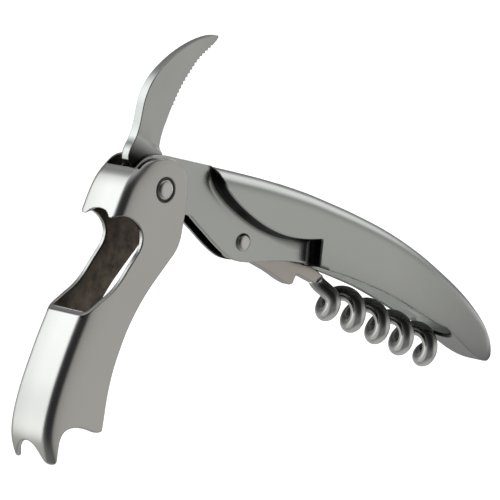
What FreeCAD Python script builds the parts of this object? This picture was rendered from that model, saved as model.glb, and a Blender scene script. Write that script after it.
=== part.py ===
import FreeCAD, Part
import os, math
from FreeCAD import Vector, Rotation, Placement, Matrix

os.makedirs("parts", exist_ok=True)

# Waiter's-friend lever corkscrew, standing on the lever's foot and the handle's tail,
# lever opened, foil blade up, worm swung a little way out of the handle. Millimetres.
# Everything is laid out about the main pivot (X along the handle towards the tail,
# Y across, Z up) and is then shifted so that the origin is under the middle, on the ground.

# ---------------------------------------------------------------- driving dimensions
GROUND_DROP = 51.86      # main pivot above the surface the corkscrew stands on
ORIGIN_X = 39.95         # main pivot to the middle of the length

LEVER_W = 11.8           # outside width of the lever's channel
LEVER_T = 1.1            # lever sheet thickness
LEVER_BEND_R = 2.0       # outside bend radius between web and cheeks
EAR_R = 6.35             # lever ear around the main pivot
EAR_BORE_R = 1.80        # running bore on the main rivet
EAR_SINK_R = 2.65        # counterbore for the rivet head
EAR_SINK_DEPTH = 0.45

FRONT_HALF = 2.45        # handle front cheeks, outside, from the middle plane
GAP_HALF = 1.45          # half the slot between the front cheeks
FRONT_R = 6.6            # handle nose around the main pivot
BULGE_HALF = 5.95        # grip, widest, from the middle plane
GRIP_LOW_HALF = 5.45     # grip at its lower edges
GRIP_WALL = 0.7          # grip shell thickness
SLOT_HALF = 4.75         # worm slot in the underside, half width
SLOT_END_X = 95.3        # round end of the worm slot
BLADE_SLOT_END_X = 36.8  # round end of the blade slot in the crown

RIVET_R = 1.75           # main rivet shank
RIVET_HEAD_R = 2.1
SPACER_R = 4.4           # spacers between handle cheeks and lever ears
SHIM_R = 4.6             # shims beside the blade tang

BLADE_T = 2.3
ARCH_Y = 0.25            # middle of the foot arch
TANG_R = 6.2
BLADE_BORE_R = 1.80

WORM_PIVOT = (26.3, -14.2)
WORM_RIVET_R = 1.45
WORM_BORE_R = 1.50
WORM_HEAD_R = 1.9
SHANK_T = 2.5
WORM_SHIM_R = 2.9

WIRE_R = 1.52            # worm wire
COIL_R = 3.02            # worm centreline helix radius
PITCH = 9.03
TURNS = 4.85
WORM_S0 = -10.29         # where the helix would start along its axis
WORM_AXIS_PT = (61.7, -33.33)
WORM_AXIS_DEG = -24.37

# ---------------------------------------------------------------- side-view profiles
HANDLE_TOP = [(0.0, 6.6), (3.0, 6.28), (7.7, 5.15), (13.4, 3.68), (18.9, 2.25), (25.1, 0.6), (32.7, -1.52),
              (40.6, -4.0), (47.1, -6.24), (54.0, -8.93), (60.8, -11.7), (71.9, -16.78), (81.6, -22.15),
              (89.6, -27.38), (97.2, -32.9), (102.4, -37.4), (106.7, -41.95), (109.5, -45.95), (110.8, -48.6), (111.35, -50.4)]
# S-shaped step between the flat front and the grip
STEP = [(16.6, 4.5), (16.65, 1.2), (17.5, -1.1), (19.2, -3.1), (21.6, -5.3), (25.0, -7.85), (28.8, -10.25), (32.3, -12.05),
        (35.8, -13.45), (39.6, -14.5), (43.5, -15.2), (47.3, -15.55)]
GRIP_LOW = [(46.9, -21.6), (50.5, -22.9), (54.5, -24.2), (59.5, -26.1), (63.2, -27.6), (68.9, -30.0), (72.6, -31.8),
            (76.3, -33.7), (80.1, -35.8), (83.9, -37.9), (87.7, -39.8), (91.0, -41.5), (93.9, -43.4),
            (97.3, -45.8), (100.4, -48.0), (103.0, -49.6), (105.5, -50.8), (108.3, -51.7), (109.4, -51.86)]
FRONT_LOW = [(11.3, -7.6), (13.1, -9.3), (15.5, -11.45), (18.0, -13.75), (20.6, -15.85), (23.2, -17.5), (26.9, -18.6),
             (31.5, -19.1), (36.5, -19.5), (41.5, -20.2), (46.9, -21.4)]

WEB = [(-6.7, 5.0), (-7.8, 4.15), (-8.9, 3.1), (-10.0, 1.75), (-10.95, 0.2), (-11.85, -1.5), (-12.75, -3.3), (-13.7, -5.1),
       (-15.6, -9.2), (-17.8, -14.2), (-20.2, -19.2), (-22.1, -23.1), (-23.5, -25.6), (-25.2, -28.8), (-27.1, -32.7),
       (-29.0, -36.9), (-30.4, -40.8), (-31.25, -44.2), (-31.45, -47.0), (-30.95, -49.7), (-30.3, -51.4)]
EAR_BACK = [(EAR_R, 0.0), (6.25, -2.7), (5.75, -5.7), (5.25, -7.9), (4.75, -10.2), (4.0, -12.0), (2.9, -13.4), (1.0, -15.15),
            (-1.8, -17.7), (-4.1, -19.9), (-5.8, -21.75), (-7.7, -24.1), (-10.0, -27.5), (-11.8, -30.9), (-13.35, -34.3),
            (-14.5, -37.6), (-15.35, -41.0), (-15.9, -43.9), (-16.35, -46.3)]
FOOT = [(-18.7, -46.95), (-21.0, -45.95), (-23.4, -45.25), (-25.4, -45.15), (-26.8, -45.6), (-27.7, -46.7), (-28.15, -48.2),
        (-28.45, -50.0), (-28.6, -51.3)]
WINDOW = [(-13.7, -5.15), (-13.35, -4.55), (-12.6, -4.15), (-11.5, -4.1), (-10.2, -4.4), (-8.7, -5.2), (-7.4, -6.35), (-6.5, -7.7),
          (-6.2, -9.0), (-6.35, -10.3), (-7.1, -11.7), (-8.5, -13.25), (-10.1, -15.0), (-11.9, -17.0), (-14.2, -18.9),
          (-17.6, -20.75), (-20.2, -22.15)]

BLADE_SPINE = [(-5.8, 6.95), (-5.3, 8.3), (-4.5, 9.5), (-3.6, 10.9), (-2.85, 12.8), (-2.25, 15.2), (-1.6, 17.6), (-0.35, 20.1),
               (1.7, 22.55), (4.6, 24.8), (8.1, 26.8), (11.7, 28.25), (15.0, 29.1), (18.0, 29.35), (19.9, 29.05)]
BLADE_EDGE = [(19.85, 28.65), (19.2, 27.95), (17.2, 26.75), (14.8, 25.2), (13.2, 23.8), (12.0, 22.5), (10.8, 21.2), (9.65, 19.8),
              (8.6, 18.3), (7.6, 16.7), (6.5, 14.9), (5.5, 12.95), (4.5, 11.0), (3.75, 8.8), (3.5, 7.3), (3.8, 5.6)]

SHANK_LOW = [(30.6, -19.1), (33.0, -20.35), (36.4, -22.15), (39.7, -24.2), (42.3, -25.5), (43.25, -25.35), (44.1, -23.95),
             (44.8, -23.45), (45.6, -23.85), (48.2, -25.15), (50.45, -26.25)]
SHANK_HIGH = [(53.0, -25.0), (50.4, -23.1), (47.3, -21.55), (43.0, -20.4), (38.0, -18.9), (33.5, -16.9), (30.6, -14.9)]


# ---------------------------------------------------------------- helpers
def v(p, y=0.0):
    return Vector(p[0], y, p[1])


def spline(points, tol=0.06):
    c = Part.BSplineCurve()
    c.approximate(Points=[v(p) for p in points], DegMin=3, DegMax=5, Tolerance=tol, Continuity="C2")
    e = c.toShape()
    return Part.Edge(e)


def line(a, b):
    return Part.makeLine(v(a), v(b))


def poly(points):
    return [line(a, b) for a, b in zip(points[:-1], points[1:])]


def arc(a, m, b):
    return Part.Arc(v(a), v(m), v(b)).toShape()


def face(edges):
    w = Part.Wire(Part.__sortEdges__(edges))
    if not w.isClosed():
        raise RuntimeError("open profile")
    return Part.Face(w)


def slab(f, half):
    """a flat XZ face thickened to +-half"""
    s = f.copy()
    s.translate(Vector(0, -half, 0))
    return s.extrude(Vector(0, 2 * half, 0))


def slab_between(f, y0, y1):
    s = f.copy()
    s.translate(Vector(0, y0, 0))
    return s.extrude(Vector(0, y1 - y0, 0))


def cyl(x, z, r, y0, y1):
    return Part.makeCylinder(r, y1 - y0, Vector(x, y0, z), Vector(0, 1, 0))


def interp(table, x):
    """smooth curve through a table (monotone cubic)"""
    n = len(table)
    if x <= table[0][0]:
        return table[0][1]
    if x >= table[-1][0]:
        return table[-1][1]
    h = [table[i + 1][0] - table[i][0] for i in range(n - 1)]
    d = [(table[i + 1][1] - table[i][1]) / h[i] for i in range(n - 1)]
    m = [d[0]] + [0.0 if d[i - 1] * d[i] <= 0 else
                  3 * (h[i - 1] + h[i]) / ((2 * h[i] + h[i - 1]) / d[i - 1] + (h[i] + 2 * h[i - 1]) / d[i])
                  for i in range(1, n - 1)] + [d[-1]]
    i = 0
    while x > table[i + 1][0]:
        i += 1
    t = (x - table[i][0]) / h[i]
    return ((2 * t ** 3 - 3 * t ** 2 + 1) * table[i][1] + (t ** 3 - 2 * t ** 2 + t) * h[i] * m[i] +
            (-2 * t ** 3 + 3 * t ** 2) * table[i + 1][1] + (t ** 3 - t ** 2) * h[i] * m[i + 1])


def offset_points(points, d):
    """a polyline moved d to its left"""
    out = []
    n = len(points)
    for i, p in enumerate(points):
        a = points[max(i - 1, 0)]
        b = points[min(i + 1, n - 1)]
        tx, tz = b[0] - a[0], b[1] - a[1]
        l = math.hypot(tx, tz)
        out.append((p[0] - tz / l * d, p[1] + tx / l * d))
    return out


def one(shape, name):
    """the single solid in a result"""
    s = shape.removeSplitter() if not isinstance(shape, Part.Solid) else shape
    sol = sorted(s.Solids, key=lambda q: -q.Volume)
    if not sol:
        raise RuntimeError(name + " has no solid")
    if len(sol) > 1:
        print(name, "drops", [round(q.Volume, 3) for q in sol[1:]])
    return sol[0]


def try_fillet(solid, edges, r, name):
    try:
        f = solid.makeFillet(r, edges)
        if f.isValid() and f.Solids:
            return one(f, name)
    except Exception as e:
        print(name, "fillet", r, "failed:", e)
    return solid


# ---------------------------------------------------------------- handle
def grip_section(x, inset, drop):
    """closed outline of the grip across its length at x: barrel sides under an arched crown"""
    zt = interp(HANDLE_TOP, x) - drop
    zl = interp(GRIP_FLOOR, x)
    wide = max(interp(GRIP_WIDTH, x) - inset, 0.4)
    low = max(interp(GRIP_LOW_WIDTH, x) - inset, 0.3)
    crown = interp(CROWN, x)
    zc = zt - crown
    deep = max(zc - zl, 0.4)
    side = [(low, zc - deep - 3.0), (low, zc - deep - 1.0)]
    for k in range(6):
        t = 1.0 - k / 6.0
        side.append((wide - (wide - low) * t * t, zc - deep * t))
    for k in range(0, 13):
        a = math.radians(90.0 * k / 12)
        n = 2.0 / 2.35
        side.append((wide * math.cos(a) ** n if k < 12 else 0.0, zc + crown * math.sin(a) ** n))
    full = [Vector(x, -y, z) for y, z in side] + [Vector(x, y, z) for y, z in reversed(side[:-1])]
    c = Part.BSplineCurve()
    c.interpolate(full)
    e = c.toShape()
    return Part.Wire([e, Part.makeLine(full[-1], full[0])])


GRIP_WIDTH = [(8, 5.95), (60, 5.95), (74, 5.9), (84, 5.7), (92, 5.3), (98, 4.8), (103, 4.1), (106.5, 3.35), (109, 2.5), (110.5, 1.75),
              (111.35, 1.1)]
GRIP_LOW_WIDTH = [(8, 5.45), (74, 5.45), (84, 5.3), (92, 4.9), (98, 4.2), (103, 3.3), (106.5, 2.55), (109, 1.8), (110.5, 1.2),
                  (111.35, 0.8)]
GRIP_FLOOR = [(10.0, -10.0), (28.0, -15.0), (46.9, -21.6)] + GRIP_LOW[1:]
CROWN = [(8, 6.2), (90, 6.2), (98, 5.4), (104, 3.9), (108, 2.4), (110.3, 1.3), (111.35, 0.8)]
STATIONS = [17, 24, 31, 38, 45, 52, 59, 66, 73, 80, 86, 91.5, 96.5, 101, 104.5, 107.2, 109.2, 110.5]


def grip_loft(inset, drop, x0, x1):
    xs = [x0] + [x for x in STATIONS if x0 + 1.5 < x < x1 - 0.5] + [x1]
    return Part.makeLoft([grip_section(x, inset, drop) for x in xs], True, False)


def make_handle():
    low = spline(list(reversed(GRIP_LOW)), 0.05)
    step = spline(STEP[1:], 0.05)
    corner = line(STEP[-1], GRIP_LOW[0])
    # grip profile: step, shoulder, lower edge, rounded nose of the tail, and well above the crown
    nose = Part.BSplineCurve()
    nose.interpolate([v(p) for p in [(109.4, -51.86), (110.3, -51.75), (111.0, -51.25), (111.35, -50.4)]])
    up = [(111.35, -50.4), (114.0, -50.4), (114.0, 12.0), (STEP[0][0], 12.0), STEP[1]]
    prof = face([step, corner, low, nose.toShape()] + poly(up))
    outer = grip_loft(0.0, 0.0, 11.0, 111.35).common(slab(prof, 9.0))
    outer = one(outer, "grip")

    # flat front: nose round the main pivot, top line, lower edge
    a45 = FRONT_R * math.sqrt(0.5)
    ft = spline([p for p in HANDLE_TOP if p[0] <= 50], 0.05)
    end_t = HANDLE_TOP[[p[0] <= 50 for p in HANDLE_TOP].count(True) - 1]
    fl = spline(list(reversed(FRONT_LOW)), 0.05)
    front = face([ft] + poly([end_t, (47.4, -15.0), (47.4, FRONT_LOW[-1][1]), FRONT_LOW[-1]]) + [fl,
                  arc(FRONT_LOW[0], (10.6, -7.0), (9.6, -6.6)), line((9.6, -6.6), (0.0, -6.6)),
                  arc((0.0, -6.6), (-6.6, 0.0), (0.0, 6.6))])
    body = outer.fuse(slab(front, FRONT_HALF))
    body = one(body, "handle fused")

    # inside of the grip: the shell follows the step, the shoulder and the crown
    stp = offset_points([p for p in STEP[1:]], GRIP_WALL)
    stp[0] = (STEP[1][0] + GRIP_WALL, 8.0)
    inner_low = offset_points(list(GRIP_LOW), 0.9)
    sx = STEP[-1][0] + GRIP_WALL
    floor_pts = [(x, z) for x, z in inner_low if SLOT_END_X - 10 < x < 103.5]
    cav = face(poly([stp[0]] + stp[1:-1] + [(sx, stp[-1][1]), (sx, -30.0), floor_pts[0]] + floor_pts[1:] +
                    [(103.0, floor_pts[-1][1] + 1.0), (103.0, 8.0), stp[0]]))
    cavity = grip_loft(GRIP_WALL, 0.95, 11.5, 104.5).common(slab(cav, 9.0))
    cavity = one(cavity, "cavity")
    body = body.cut(cavity)

    # worm slot in the underside, round at the tail end
    xs = SLOT_END_X - SLOT_HALF
    plan = Part.makeBox(xs - sx, 2 * SLOT_HALF, 40.0, Vector(sx, -SLOT_HALF, -62.0))
    plan = plan.fuse(Part.makeCylinder(SLOT_HALF, 40.0, Vector(xs, 0, -62.0)))
    under = face(poly([(sx, -14.0)] + [(x, z + 0.5) for x, z in inner_low if 50 < x < 101] + [(101, -62), (sx, -62), (sx, -14.0)]))
    body = body.cut(plan.common(slab(under, 9.0)))

    # slot between the front cheeks, open below, in front and above; under the crown it stops below the shell
    gap = face(poly([(-9, 9), (BLADE_SLOT_END_X, 9), (BLADE_SLOT_END_X, interp(HANDLE_TOP, BLADE_SLOT_END_X) - 1.0),
                     (sx + 1, interp(HANDLE_TOP, sx + 1) - 1.1), (sx + 1, -30), (-9, -30), (-9, 9)]))
    body = body.cut(slab(gap, GAP_HALF))
    body = body.cut(Part.makeCylinder(GAP_HALF, 14.0, Vector(BLADE_SLOT_END_X, 0, interp(HANDLE_TOP, BLADE_SLOT_END_X) - 8.0)))

    # rivet holes through the cheeks
    body = body.cut(cyl(0, 0, RIVET_R, -8, 8))
    body = body.cut(cyl(WORM_PIVOT[0], WORM_PIVOT[1], WORM_RIVET_R, -8, 8))
    return one(body, "handle_body")


# ---------------------------------------------------------------- lever
def make_lever():
    ho = LEVER_W / 2.0
    web = spline(WEB, 0.06)
    back = spline(EAR_BACK, 0.06)
    c = 0.70710678
    ear = arc((0.0, EAR_R), (EAR_R * c, EAR_R * c), (EAR_R, 0.0))
    top = spline([(0.0, EAR_R), (-1.8, 6.42), (-3.8, 6.2), (-5.4, 5.72), (-6.7, 5.0)], 0.02)
    heel = arc(EAR_BACK[-1], (-16.75, -47.15), (-17.6, -47.2))
    foot = spline([(-17.6, -47.2)] + FOOT, 0.04)
    toe = arc(FOOT[-1], (-29.3, -51.86), WEB[-1])
    prof = face([web, top, ear, back, heel, foot, toe])
    # blank with its two long bends rounded, trimmed to the side profile
    long_web = [(-3.2, 8.6), (-4.9, 6.9)] + WEB + [(-29.0, -54.2), (-27.6, -57.0)]
    blank = slab(face([spline(long_web, 0.05)] + poly([long_web[-1], (20.0, -57.0), (20.0, 8.6), long_web[0]])), ho)
    be = [e for e in blank.Edges if abs(abs(e.CenterOfMass.y) - ho) < 1e-6 and e.BoundBox.ZLength > 50 and e.BoundBox.XMin < -31]
    blank = try_fillet(blank, be, LEVER_BEND_R, "lever bend")
    solid = one(blank.common(slab(prof, ho + 1.0)), "lever blank")

    # inside of the channel
    inner = offset_points(WEB, LEVER_T)
    inner = inner + [(-28.4, -56.0)]
    # the web ends square across the sheet at the top, between the two ears
    inn = face([spline(inner, 0.05)] + poly([inner[-1], (20.0, -56.0), (20.0, 12.0), (-9.6, 12.0), (-9.6, 8.4), inner[0]]))
    pocket = slab(inn, ho - LEVER_T)
    # rounded inside corners of the channel
    pe = [e for e in pocket.Edges if abs(abs(e.CenterOfMass.y) - (ho - LEVER_T)) < 1e-6 and e.BoundBox.ZLength > 40 and e.CenterOfMass.x < -8]
    pocket = try_fillet(pocket, pe, LEVER_BEND_R - LEVER_T, "lever pocket")
    solid = one(solid.cut(pocket), "lever channel")

    # cap-lifter window through web and cheeks
    wf = face([spline(WINDOW, 0.04)] + poly([WINDOW[-1], (-22.4, -23.1), (-34.0, -23.1), (-34.0, -5.15), WINDOW[0]]))
    solid = solid.cut(slab(wf, 9.0))
    # arched lower edge of the bridge, with a hook left at each bend
    pts = [(-4.05, -5.4), (-3.75, -5.2), (-3.3, -4.6), (-2.6, -3.85), (-1.6, -3.3), (0.0, -3.1), (1.6, -3.3), (2.6, -3.85),
           (3.3, -4.6), (3.75, -5.2), (4.05, -5.4)]
    c = Part.BSplineCurve()
    c.interpolate([Vector(-20.0, y, z) for y, z in pts])
    ar = Part.Face(Part.Wire([c.toShape(), Part.makeLine(Vector(-20, pts[-1][0], pts[-1][1]), Vector(-20, pts[0][0], pts[0][1]))]))
    solid = solid.cut(ar.extrude(Vector(9.6, 0, 0)))
    # arch between the two prongs of the foot
    pts = [(-4.75, -53.0), (-4.35, -51.9), (-3.75, -50.7), (-3.0, -49.4), (-2.0, -48.2), (-1.0, -47.65), (0.0, -47.5), (1.0, -47.65),
           (2.0, -48.2), (3.0, -49.4), (3.75, -50.7), (4.35, -51.9), (4.75, -53.0)]
    c = Part.BSplineCurve()
    c.interpolate([Vector(-36.0, y, z) for y, z in pts])
    ar = Part.Face(Part.Wire([c.toShape(), Part.makeLine(Vector(-36, pts[-1][0], pts[-1][1]), Vector(-36, pts[0][0], pts[0][1]))]))
    ar.translate(Vector(0, ARCH_Y, 0))
    solid = solid.cut(ar.extrude(Vector(10.0, 0, 0)))
    # pivot bores and head counterbores
    solid = solid.cut(cyl(0, 0, EAR_BORE_R, -8, 8))
    for s in (-1, 1):
        y0, y1 = sorted((s * (ho - EAR_SINK_DEPTH), s * (ho + 1)))
        solid = solid.cut(cyl(0, 0, EAR_SINK_R, y0, y1))
    return one(solid, "lever")


# ---------------------------------------------------------------- foil blade
def make_blade():
    spine = spline(BLADE_SPINE, 0.03)
    edge = spline(BLADE_EDGE, 0.03)
    tip = arc(BLADE_SPINE[-1], (20.0, 28.82), BLADE_EDGE[0])
    a = math.radians(137.0)
    p0 = (TANG_R * math.cos(a), TANG_R * math.sin(a))
    b = math.radians(42.0)
    p1 = (TANG_R * math.cos(b), TANG_R * math.sin(b))
    low = arc(p0, (0.0, -TANG_R), p1)
    prof = face([spine, tip, edge, line(BLADE_EDGE[-1], p1), low, line(p0, BLADE_SPINE[0])])
    h = BLADE_T / 2.0
    solid = slab(prof, h)
    solid = solid.cut(cyl(0, 0, BLADE_BORE_R, -4, 4))
    # ground bevels: the outer part thins towards the cutting edge
    for s in (-1, 1):
        off = offset_points(BLADE_EDGE[:-2], -2.6)
        lower = offset_points(BLADE_EDGE[:-2], 0.5)
        rail0 = [Vector(x, s * (h + 0.02), z) for x, z in off]
        rail1 = [Vector(x, s * 0.28, z) for x, z in lower]
        try:
            wires = []
            for i in range(len(rail0)):
                q = [rail0[i], rail1[i], Vector(rail1[i].x, s * 3.0, rail1[i].z), Vector(rail0[i].x, s * 3.0, rail0[i].z)]
                wires.append(Part.makePolygon(q + [q[0]]))
            cutter = Part.makeLoft(wires, True, True)
            r = solid.cut(cutter)
            if r.isValid() and r.Solids:
                solid = one(r, "foil_blade bevel")
        except Exception as e:
            print("bevel failed", e)
    return one(solid, "foil_blade")


# ---------------------------------------------------------------- worm
def make_shank():
    x, z = WORM_PIVOT
    r = 3.9
    low = spline(SHANK_LOW[:5], 0.03)
    tooth = poly(SHANK_LOW[4:])
    start = (x + r * math.cos(math.radians(-75)), z + r * math.sin(math.radians(-75)))
    stop = (x + r * math.cos(math.radians(25)), z + r * math.sin(math.radians(25)))
    ring = arc(start, (x - r, z), stop)
    high = spline(SHANK_HIGH, 0.03)
    prof = face([line(start, SHANK_LOW[0]), low] + tooth + [line(SHANK_LOW[-1], SHANK_HIGH[0]), high, line(SHANK_HIGH[-1], stop), ring])
    solid = slab(prof, SHANK_T / 2.0)
    return one(solid.cut(cyl(x, z, WORM_BORE_R, -4, 4)), "worm_shank")


def worm_centreline():
    """points and radii along the wire: out of the shank, into a right-handed helix, to a point"""
    a = math.radians(WORM_AXIS_DEG)
    u = Vector(math.cos(a), 0, math.sin(a))
    n = Vector(-math.sin(a), 0, math.cos(a))
    w = Vector(0, -1, 0)
    o = Vector(WORM_AXIS_PT[0], 0, WORM_AXIS_PT[1])
    s0 = WORM_S0

    def helix(t):
        return o + u * (s0 + PITCH * t / 360.0) + n * (COIL_R * math.cos(math.radians(t))) + w * (COIL_R * math.sin(math.radians(t)))

    start = Vector((SHANK_LOW[-1][0] + SHANK_HIGH[0][0]) / 2.0, 0, (SHANK_LOW[-1][1] + SHANK_HIGH[0][1]) / 2.0)
    ex, ez = SHANK_HIGH[0][0] - SHANK_LOW[-1][0], SHANK_HIGH[0][1] - SHANK_LOW[-1][1]
    l = math.hypot(ex, ez)
    d0 = Vector(ez / l, 0, -ex / l)
    t1 = 100.0
    p1 = helix(t1)
    d1 = (helix(t1 + 1) - helix(t1 - 1)).normalize()
    span = (p1 - start).Length
    pts = []
    m = 6
    for k in range(m):
        t = k / float(m)
        h00, h10 = 2 * t ** 3 - 3 * t ** 2 + 1, t ** 3 - 2 * t ** 2 + t
        h01, h11 = -2 * t ** 3 + 3 * t ** 2, t ** 3 - t ** 2
        pts.append((start * h00 + d0 * (span * h10) + p1 * h01 + d1 * (span * h11), WIRE_R))
    t_end = 360.0 * TURNS
    step = 20.0
    t = t1
    while t < t_end - 1e-6:
        left = t_end - t
        r = WIRE_R if left > 120 else 0.3 + (WIRE_R - 0.3) * math.sin(math.pi / 2 * left / 120.0)
        pts.append((helix(t), r))
        t += step
    pts.append((helix(t_end), 0.3))
    return pts, d0


def make_worm():
    pts, d0 = worm_centreline()
    n = len(pts)
    wires = []
    for i in range(n):
        a = pts[max(i - 1, 0)][0]
        b = pts[min(i + 1, n - 1)][0]
        t = d0 if i == 0 else (b - a).normalize()
        c = Part.Circle(pts[i][0], t, pts[i][1])
        # the seam is carried along the same side of the wire
        ref = Vector(0, -1, 0) if i == 0 else ref
        ref = (ref - t * ref.dot(t)).normalize()
        c.rotate(Placement(pts[i][0], Rotation(t, math.degrees(seam_turn(c, ref, t)))))
        wires.append(Part.Wire(c.toShape()))
    return one(Part.makeLoft(wires, True, False, False, 3), "worm")


def seam_turn(c, ref, t):
    """angle that brings the circle's first point to the side ref"""
    d = (c.value(0) - c.Center).normalize()
    return math.atan2(t.dot(d.cross(ref)), d.dot(ref))


# ---------------------------------------------------------------- rivets, spacers, shims
def dome(x, z, r, y0, y1):
    """domed head from the plane y0 to its crown at y1"""
    h = abs(y1 - y0)
    rim = 0.3 * h
    s = 1 if y1 > y0 else -1
    R = (r * r + (h - rim) ** 2) / (2 * (h - rim))
    base = cyl(x, z, r, min(y0, y0 + s * rim), max(y0, y0 + s * rim))
    cy = y1 - s * R
    ball = Part.makeSphere(R, Vector(x, cy, z))
    box = cyl(x, z, r, min(y0 + s * rim * 0.5, y1 + s), max(y0 + s * rim * 0.5, y1 + s))
    return base.fuse(ball.common(box))


def make_main_rivet():
    y = LEVER_W / 2.0 - EAR_SINK_DEPTH + 0.05
    r = cyl(0, 0, RIVET_R, -y, y)
    for s in (-1, 1):
        r = r.fuse(dome(0, 0, RIVET_HEAD_R, s * y, s * (y + 0.95)))
    return one(r, "main_rivet")


def make_worm_rivet():
    x, z = WORM_PIVOT
    r = cyl(x, z, WORM_RIVET_R, -FRONT_HALF, FRONT_HALF)
    for s in (-1, 1):
        r = r.fuse(dome(x, z, WORM_HEAD_R, s * FRONT_HALF, s * (FRONT_HALF + 0.95)))
    return one(r, "worm_rivet")


def ring(x, z, ri, ro, y0, y1):
    y0, y1 = sorted((y0, y1))
    return cyl(x, z, ro, y0, y1).cut(cyl(x, z, ri, y0 - 1, y1 + 1))


nodes = {}
nodes["handle_body"] = make_handle()
nodes["lever"] = make_lever()
nodes["foil_blade"] = make_blade()
nodes["worm_shank"] = make_shank()
nodes["worm"] = make_worm()
nodes["main_rivet"] = make_main_rivet()
nodes["worm_rivet"] = make_worm_rivet()
ear_in = LEVER_W / 2.0 - LEVER_T
for name, s in (("near", -1), ("far", 1)):
    nodes["pivot_spacer_" + name] = ring(0, 0, RIVET_R, SPACER_R, s * FRONT_HALF, s * (ear_in - 0.05))
    nodes["blade_shim_" + name] = ring(0, 0, RIVET_R, SHIM_R, s * (BLADE_T / 2.0 + 0.05), s * GAP_HALF)
    nodes["worm_shim_" + name] = ring(WORM_PIVOT[0], WORM_PIVOT[1], WORM_RIVET_R, WORM_SHIM_R, s * (SHANK_T / 2.0 + 0.05), s * GAP_HALF)

lo = [1e9] * 3
hi = [-1e9] * 3
for name, shape in nodes.items():
    shape.translate(Vector(-ORIGIN_X, 0, GROUND_DROP))
    shape.exportStep("parts/%s.step" % name)
    b = shape.optimalBoundingBox(False, False)
    lo = [min(p, q) for p, q in zip(lo, (b.XMin, b.YMin, b.ZMin))]
    hi = [max(p, q) for p, q in zip(hi, (b.XMax, b.YMax, b.ZMax))]
    print("%-20s valid=%s vol=%.1f x %.2f..%.2f y %.2f..%.2f z %.2f..%.2f" % (
        name, shape.isValid(), shape.Volume, b.XMin, b.XMax, b.YMin, b.YMax, b.ZMin, b.ZMax))
print("whole", [round(x, 3) for x in lo], [round(x, 3) for x in hi])
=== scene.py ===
import bpy, math
import numpy as np
from mathutils import Matrix, Vector


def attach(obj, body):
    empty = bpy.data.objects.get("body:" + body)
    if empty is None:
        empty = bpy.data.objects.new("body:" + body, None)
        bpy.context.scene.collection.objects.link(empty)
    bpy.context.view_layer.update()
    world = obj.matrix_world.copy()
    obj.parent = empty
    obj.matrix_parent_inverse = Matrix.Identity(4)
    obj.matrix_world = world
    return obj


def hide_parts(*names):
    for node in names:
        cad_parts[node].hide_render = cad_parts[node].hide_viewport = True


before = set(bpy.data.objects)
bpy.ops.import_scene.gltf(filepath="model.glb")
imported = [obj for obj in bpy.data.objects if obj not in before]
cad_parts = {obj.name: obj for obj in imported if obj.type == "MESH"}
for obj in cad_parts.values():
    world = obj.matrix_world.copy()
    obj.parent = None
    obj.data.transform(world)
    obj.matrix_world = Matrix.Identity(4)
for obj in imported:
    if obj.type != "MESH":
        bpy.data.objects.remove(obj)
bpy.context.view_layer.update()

# Lever corkscrew (waiter's friend). Shapes are laid out in millimetres about the main pivot
# (X towards the tail, Y across, Z up), then moved into the row frame and into metres.
OX, OZ = -39.95, 51.86


def row(p):
    p = np.asarray(p, float)
    return (p + np.array([OX, 0.0, OZ])) / 1000.0


# ------------------------------------------------------------------ profiles, side view (x, z)
HANDLE_TOP = [(0.0, 6.6), (3.0, 6.28), (7.7, 5.15), (13.4, 3.68), (18.9, 2.25), (25.1, 0.6), (32.7, -1.52),
              (40.6, -4.0), (47.1, -6.24), (54.0, -8.93), (60.8, -11.7), (71.9, -16.78), (81.6, -22.15),
              (89.6, -27.38), (97.2, -32.9), (102.4, -37.4), (106.7, -41.95), (109.5, -45.95), (110.8, -48.6), (111.35, -50.4)]
STEP = [(16.6, 4.5), (16.65, 1.2), (17.5, -1.1), (19.2, -3.1), (21.6, -5.3), (25.0, -7.85), (28.8, -10.25), (32.3, -12.05),
        (35.8, -13.45), (39.6, -14.5), (43.5, -15.2), (47.3, -15.55)]
GRIP_LOW = [(46.9, -21.6), (50.5, -22.9), (54.5, -24.2), (59.5, -26.1), (63.2, -27.6), (68.9, -30.0), (72.6, -31.8),
            (76.3, -33.7), (80.1, -35.8), (83.9, -37.9), (87.7, -39.8), (91.0, -41.5), (93.9, -43.4),
            (97.3, -45.8), (100.4, -48.0), (103.0, -49.6), (105.5, -50.8), (108.3, -51.7), (109.4, -51.86)]
FRONT_LOW = [(11.3, -7.6), (13.1, -9.3), (15.5, -11.45), (18.0, -13.75), (20.6, -15.85), (23.2, -17.5), (26.9, -18.6),
             (31.5, -19.1), (36.5, -19.5), (41.5, -20.2), (46.9, -21.4)]
WEB = [(-6.7, 5.0), (-7.8, 4.15), (-8.9, 3.1), (-10.0, 1.75), (-10.95, 0.2), (-11.85, -1.5), (-12.75, -3.3), (-13.7, -5.1),
       (-15.6, -9.2), (-17.8, -14.2), (-20.2, -19.2), (-22.1, -23.1), (-23.5, -25.6), (-25.2, -28.8), (-27.1, -32.7),
       (-29.0, -36.9), (-30.4, -40.8), (-31.25, -44.2), (-31.45, -47.0), (-30.95, -49.7), (-30.3, -51.4)]
EAR_BACK = [(6.35, 0.0), (6.25, -2.7), (5.75, -5.7), (5.25, -7.9), (4.75, -10.2), (4.0, -12.0), (2.9, -13.4), (1.0, -15.15),
            (-1.8, -17.7), (-4.1, -19.9), (-5.8, -21.75), (-7.7, -24.1), (-10.0, -27.5), (-11.8, -30.9), (-13.35, -34.3),
            (-14.5, -37.6), (-15.35, -41.0), (-15.9, -43.9), (-16.35, -46.3)]
FOOT = [(-18.7, -46.95), (-21.0, -45.95), (-23.4, -45.25), (-25.4, -45.15), (-26.8, -45.6), (-27.7, -46.7), (-28.15, -48.2),
        (-28.45, -50.0), (-28.6, -51.3)]
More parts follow.
